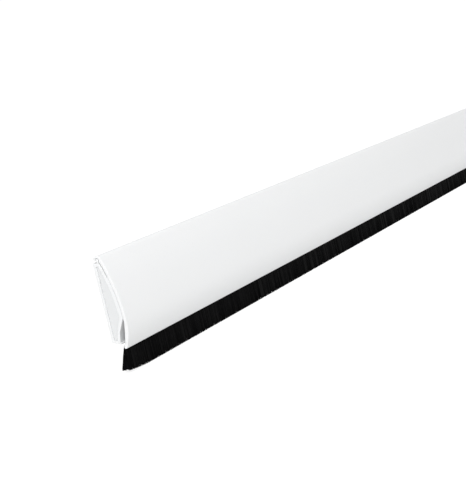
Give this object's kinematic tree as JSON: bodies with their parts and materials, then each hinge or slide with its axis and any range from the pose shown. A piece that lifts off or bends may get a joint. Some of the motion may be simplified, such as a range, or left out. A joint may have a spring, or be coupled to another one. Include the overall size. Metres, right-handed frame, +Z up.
{
  "type": "door sweep",
  "caption": "Face-fixed door sweep: a hollow white rail with end plugs, a bowed clip-on cover hinged on the rail's top ridge, and a black brush strip that slides in a leaning slot.",
  "frame": {"origin": "on the door's face at mid-length, level with the row of screw holes", "axes": "+X along the sweep, +Y into the door, -Y towards the viewer, +Z up"},
  "size_m": [0.914, 0.012, 0.061],
  "materials": {
    "white_pvc": "satin extruded",
    "white_cover": "satin extruded",
    "white_plug": "satin moulded",
    "galvanised_steel": "rolled zinc coat",
    "steel_wire": "drawn",
    "black_filament": "nylon filament"
  },
  "bodies": {
    "rail": {"mounting_rail": "white_pvc", "near_end_plug": "white_plug", "far_end_plug": "white_plug"},
    "cover": {"clip_cover": "white_cover"},
    "brush": {"brush_channel": "galvanised_steel", "core_wire": "steel_wire", "brush_bristles": "black_filament"}
  },
  "joints": [
    {"name": "cover_swing", "type": "hinge", "parent": "rail", "child": "cover", "pos_m": [0, -0.00315, 0.0219], "axis": [-1, 0, 0], "range_deg": [0, 25]},
    {"name": "brush_slide", "type": "slide", "parent": "rail", "child": "brush", "axis": [-1, 0, 0], "range_m": [0, 0.9]}
  ]
}
